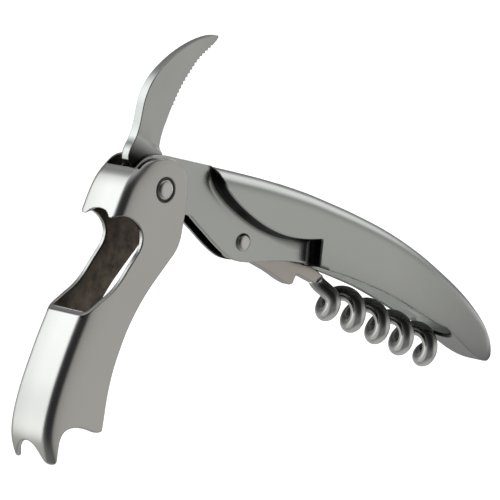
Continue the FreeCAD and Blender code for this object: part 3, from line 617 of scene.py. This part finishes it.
# ------------------------------------------------------------------ worm and its plate
def shank():
    h = 0.16
    g = Grid((21.6, -2.0, -27.6), (54.2, 2.0, -9.4), h)
    x, z = WORM_PIVOT
    low = smooth_curve(SHANK_LOW[:5], 0.2, 0.5)
    high = smooth_curve(SHANK_HIGH, 0.2, 0.5)
    prof = join(low, SHANK_LOW[5:], high, ring_arc(x, z, 3.9, 25, 285, 60))
    P = g.side(prof)
    F = cut_max(g.A - 1.25 + 0 * g.Z, P, 0.28)
    F = np.maximum(F, 1.5 - np.sqrt((g.X - x) ** 2 + (g.Z - z) ** 2))
    V, Q = nets(F, g)
    shade = np.ones(len(V))
    return mesh_object("worm_plate", V, Q, "worm", ["worm_shank"], M_shank, {"shade": shade})


def worm():
    WIRE_R, COIL_R = 1.68, 2.96
    a = math.radians(WORM_AXIS_DEG)
    u = np.array([math.cos(a), 0, math.sin(a)])
    n = np.array([-math.sin(a), 0, math.cos(a)])
    w = np.array([0, -1.0, 0])
    o = np.array([WORM_AXIS_PT[0], 0, WORM_AXIS_PT[1]])

    def helix(t):
        t = np.asarray(t, float)[..., None]
        r = np.radians(t)
        return o + u * (WORM_S0 + PITCH * t / 360) + n * (COIL_R * np.cos(r)) + w * (COIL_R * np.sin(r))

    p0 = np.array([(SHANK_LOW[-1][0] + SHANK_HIGH[0][0]) / 2, 0, (SHANK_LOW[-1][1] + SHANK_HIGH[0][1]) / 2])
    e = np.array([SHANK_HIGH[0][0] - SHANK_LOW[-1][0], 0, SHANK_HIGH[0][1] - SHANK_LOW[-1][1]])
    e /= np.linalg.norm(e)
    d0 = np.array([e[2], 0, -e[0]])
    t1 = 100.0
    p1 = helix(t1)
    d1 = helix(t1 + 1) - helix(t1 - 1)
    d1 /= np.linalg.norm(d1)
    sp = np.linalg.norm(p1 - p0)
    t = np.linspace(0, 1, 22)[:-1, None]
    lead = ((2 * t ** 3 - 3 * t ** 2 + 1) * p0 + (t ** 3 - 2 * t ** 2 + t) * d0 * sp +
            (-2 * t ** 3 + 3 * t ** 2) * p1 + (t ** 3 - t ** 2) * d1 * sp)
    te = 360 * TURNS
    tt = np.arange(t1, te, 4.0)
    pts = np.vstack([lead, helix(tt), helix(te)[None]])
    left = np.concatenate([np.full(len(lead), 999.0), te - tt, [0.0]])
    rad = np.where(left > 120, WIRE_R, 0.16 + (WIRE_R - 0.16) * np.sin(np.pi / 2 * np.clip(left / 120, 0, 1)) ** 0.9)
    # start a hair inside the plate
    pts = np.vstack([pts[:1] - d0 * 0.25, pts])
    rad = np.concatenate([rad[:1], rad])
    T = np.gradient(pts, axis=0)
    T /= np.linalg.norm(T, axis=1)[:, None]
    m = 40
    ref = np.array([0, -1.0, 0])
    V, Q, S = [], [], []
    for i, (p, tg, r) in enumerate(zip(pts, T, rad)):
        ref = ref - tg * ref.dot(tg)
        ref /= np.linalg.norm(ref)
        b = np.cross(tg, ref)
        ang = 2 * np.pi * np.arange(m) / m
        V.append(p + r * (np.cos(ang)[:, None] * ref + np.sin(ang)[:, None] * b))
        # painted shade on the upper side of every turn, for the dark underside of the handle that it faces
        up = np.cos(ang) * ref[2] + np.sin(ang) * b[2]
        q = np.clip((up + 0.15) / 0.6, 0, 1)
        S.append(1 - 0.85 * q * q * (3 - 2 * q))
    N = len(pts)
    V = np.vstack(V)
    i = np.arange(N - 1)[:, None] * m
    j = np.arange(m)[None, :]
    j2 = (j + 1) % m
    Q = np.stack([i + j, i + j2, i + m + j2, i + m + j], -1).reshape(-1, 4)
    Q = Q[:, ::-1]
    me = mesh_object("worm_wire", V, Q, "worm", ["worm"], M_worm, {"shade": np.concatenate(S)})
    import bmesh
    bm = bmesh.new()
    bm.from_mesh(me.data)
    bm.verts.ensure_lookup_table()
    vs = list(bm.verts)
    bm.faces.new([vs[k] for k in range(m)][::-1])
    tip = bm.verts.new(Vector(row(pts[-1] + T[-1] * 0.12)))
    lay = bm.verts.layers.float.get("shade")
    if lay is not None:
        tip[lay] = 1.0
    base = (N - 1) * m
    for k in range(m):
        bm.faces.new([vs[base + k], vs[base + (k + 1) % m], tip])
    bmesh.ops.recalc_face_normals(bm, faces=bm.faces[:])
    for f in bm.faces:
        f.smooth = True
    bm.to_mesh(me.data)
    bm.free()
    return me


# ------------------------------------------------------------------ rivets: turned heads on a shank
def lathe(name, cx, cz, outline, body, cad, mat, m=72):
    """outline (y, r) from end to end; r = 0 at both ends"""
    V, Q = [], []
    prof = np.array(outline, float)
    ang = 2 * np.pi * np.arange(m) / m
    inner = prof[1:-1]
    for y, r in inner:
        V.append(np.stack([cx + r * np.cos(ang), np.full(m, y), cz + r * np.sin(ang)], 1))
    V = np.vstack(V)
    n = len(inner)
    me = mesh_object(name, V, np.stack([(np.arange(n - 1)[:, None] * m + np.arange(m)[None, :]).ravel(),
                                       (np.arange(n - 1)[:, None] * m + (np.arange(m)[None, :] + 1) % m).ravel(),
                                       ((np.arange(n - 1) + 1)[:, None] * m + (np.arange(m)[None, :] + 1) % m).ravel(),
                                       ((np.arange(n - 1) + 1)[:, None] * m + np.arange(m)[None, :]).ravel()], 1),
                     body, cad, mat, {"shade": np.ones(len(V))})
    import bmesh
    bm = bmesh.new()
    bm.from_mesh(me.data)
    bm.verts.ensure_lookup_table()
    vs = list(bm.verts)
    lay = bm.verts.layers.float.get("shade")
    a = bm.verts.new(Vector(row((cx, prof[0][0], cz))))
    b = bm.verts.new(Vector(row((cx, prof[-1][0], cz))))
    a[lay] = b[lay] = 1.0
    for k in range(m):
        bm.faces.new([vs[k], vs[(k + 1) % m], a])
        bm.faces.new([vs[(n - 1) * m + k], vs[(n - 1) * m + (k + 1) % m], b])
    bmesh.ops.recalc_face_normals(bm, faces=bm.faces[:])
    for f in bm.faces:
        f.smooth = True
    bm.to_mesh(me.data)
    bm.free()
    return me


def head(r, y0, h):
    """half outline of a domed head, from the crown down to the rim at y0"""
    out = [(y0 + h, 0.0)]
    for k in range(1, 15):
        a = math.radians(90 * k / 14)
        out.append((y0 + h * math.cos(a) ** 0.9 * 0.80 + h * 0.20 * (1 - (k / 14.0) ** 4), r * math.sin(a) ** 0.85))
    out.append((y0 + 0.02, r))
    out.append((y0, r - 0.04))
    return out


def rivets():
    ho = LEVER_W / 2
    yb = ho - 0.45 + 0.05
    hd = head(2.1, yb, 0.92)
    o = hd + [(yb, 1.75)]
    o = [(-y, r) for y, r in o] + o[::-1]
    lathe("main_rivet_turned", 0, 0, o, "handle", ["main_rivet"], M_rivet)
    hd = head(1.9, FRONT_HALF, 0.93)
    o = hd + [(FRONT_HALF, 1.45)]
    o = [(-y, r) for y, r in o] + o[::-1]
    lathe("worm_rivet_turned", WORM_PIVOT[0], WORM_PIVOT[1], o, "handle", ["worm_rivet"], M_rivet)


handle()
lever()
blade()
shank()
worm()
rivets()
for n, m in (("pivot_spacer_near", M_spacer), ("pivot_spacer_far", M_spacer), ("blade_shim_near", M_shim), ("blade_shim_far", M_shim),
             ("worm_shim_near", M_shim), ("worm_shim_far", M_shim)):
    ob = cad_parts[n]
    ob.data.materials.clear()
    ob.data.materials.append(m)


# ------------------------------------------------------------------ floor, light, camera
def floor():
    me = bpy.data.meshes.new("floor")
    s = 6.0
    z = -0.0225                 # below the worm when it is swung out
    me.from_pydata([(-s, -s, z), (s, -s, z), (s, s, z), (-s, s, z)], [], [(0, 1, 2, 3)])
    ob = bpy.data.objects.new("floor", me)
    bpy.context.scene.collection.objects.link(ob)
    m = bpy.data.materials.new("pale floor")
    m.use_nodes = True
    b = m.node_tree.nodes["Principled BSDF"]
    b.inputs["Base Color"].default_value = (0.6, 0.6, 0.6, 1)
    b.inputs["Roughness"].default_value = 0.9
    b.inputs["Specular IOR Level"].default_value = 0.0
    b.inputs["Emission Color"].default_value = (1, 1, 1, 1)
    b.inputs["Emission Strength"].default_value = 0.78
    me.materials.append(m)
    ob.visible_glossy = False


floor()

th, ph, rl = math.radians(46.517), math.radians(10.568), math.radians(1.335)
d = np.array([math.sin(th) * math.cos(ph), math.cos(th) * math.cos(ph), -math.sin(ph)])
R = np.array([math.cos(th), -math.sin(th), 0.0])
U = np.cross(R, d)
R2 = R * math.cos(rl) + U * math.sin(rl)
U2 = -R * math.sin(rl) + U * math.cos(rl)
f = 3000.0
C = np.array([0, -5.9, 0.0]) - 600.0 * (d + (166 - 250) / f * R2 - (190 - 250) / f * U2)
cam = bpy.data.objects.new("camera", bpy.data.cameras.new("camera"))
bpy.context.scene.collection.objects.link(cam)
cam.data.sensor_width = 36.0
cam.data.lens = f / 500.0 * 36.0
cam.data.clip_start = 0.01
cam.data.clip_end = 100.0
M = Matrix.Identity(4)
for i in range(3):
    M[i][0], M[i][1], M[i][2] = R2[i], U2[i], -d[i]
cam.matrix_world = Matrix.Translation(Vector(row(C))) @ M
bpy.context.scene.camera = cam
bpy.context.scene.view_settings.view_transform = "Standard"

# studio: soft lobes of light round the object, seen by reflections and as fill; plain pale backdrop
world = bpy.data.worlds.new("studio")
bpy.context.scene.world = world
world.use_nodes = True
nt = world.node_tree
nt.nodes.clear()
N, L = nt.nodes.new, nt.links.new
tc = N("ShaderNodeTexCoord")
nrm = N("ShaderNodeVectorMath")
nrm.operation = "NORMALIZE"
L(tc.outputs["Generated"], nrm.inputs[0])


def lobe(direction, inner_deg, outer_deg, strength):
    v = Vector(direction).normalized()
    dt = N("ShaderNodeVectorMath")
    dt.operation = "DOT_PRODUCT"
    L(nrm.outputs[0], dt.inputs[0])
    dt.inputs[1].default_value = v
    r = N("ShaderNodeMapRange")
    r.interpolation_type = "SMOOTHSTEP"
    r.inputs["From Min"].default_value = math.cos(math.radians(outer_deg))
    r.inputs["From Max"].default_value = math.cos(math.radians(inner_deg))
    r.inputs["To Min"].default_value = 0.0
    r.inputs["To Max"].default_value = strength
    L(dt.outputs["Value"], r.inputs[0])
    return r.outputs[0]


COOL, WARM, FLAT = (0.97, 1.0, 1.01), (1.0, 0.975, 0.93), (1.0, 1.0, 0.985)
BASE = 0.30
lobes = [
    ((-0.62, 0.68, 0.30), 12, 44, 1.84, COOL),      # bright wall behind on the left
    ((-0.42, 0.68, 0.58), 8, 28, 0.8, COOL),        # its upper part
    ((-0.72, 0.60, -0.40), 14, 40, 0.6, FLAT),      # low fill for the far side
    ((0.05, 0.97, -0.22), 12, 42, 0.35, FLAT),      # far side, straight on
    ((0.1, 0.1, 1.0), 10, 50, 0.5, COOL),           # overhead softbox
    ((0.87, 0.08, 0.49), 6, 24, 1.55, FLAT),        # right, catches the crown
    ((0.96, 0.02, -0.10), 4, 15, 1.5, FLAT),        # slim strip on the right
    ((0.3, 0.15, -0.94), 15, 50, 0.5, FLAT),        # light bounced up from the table
    ((0.68, -0.70, -0.16), 16, 50, 0.64, WARM),     # fill on the near sides
    ((-0.60, -0.70, 0.30), 18, 62, -0.24, FLAT),    # dark room on the viewer's side
    ((0.73, 0.67, -0.12), 8, 22, -0.08, FLAT),      # dark flag behind
]
total = None
for direction, inner_deg, outer_deg, strength, tint in lobes:
    sc = N("ShaderNodeVectorMath")
    sc.operation = "SCALE"
    sc.inputs[0].default_value = tint
    L(lobe(direction, inner_deg, outer_deg, strength), sc.inputs["Scale"])
    ad = N("ShaderNodeVectorMath")
    ad.operation = "ADD"
    if total is None:
        ad.inputs[0].default_value = (BASE, BASE, BASE)
    else:
        L(total, ad.inputs[0])
    L(sc.outputs[0], ad.inputs[1])
    total = ad.outputs[0]
mx = N("ShaderNodeVectorMath")
mx.operation = "MAXIMUM"
L(total, mx.inputs[0])
mx.inputs[1].default_value = (0.03, 0.03, 0.03)
bg = N("ShaderNodeBackground")
L(mx.outputs[0], bg.inputs["Color"])
bg.inputs["Strength"].default_value = 1.0
bg2 = N("ShaderNodeBackground")
bg2.inputs["Color"].default_value = (1, 1, 1, 1)
bg2.inputs["Strength"].default_value = 1.0
lp = N("ShaderNodeLightPath")
ms = N("ShaderNodeMixShader")
L(lp.outputs["Is Camera Ray"], ms.inputs[0])
L(bg.outputs[0], ms.inputs[1])
L(bg2.outputs[0], ms.inputs[2])
wo = N("ShaderNodeOutputWorld")
L(ms.outputs[0], wo.inputs[0])

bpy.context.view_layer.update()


def plain(b):
    return [[float(v) for v in p] for p in b]
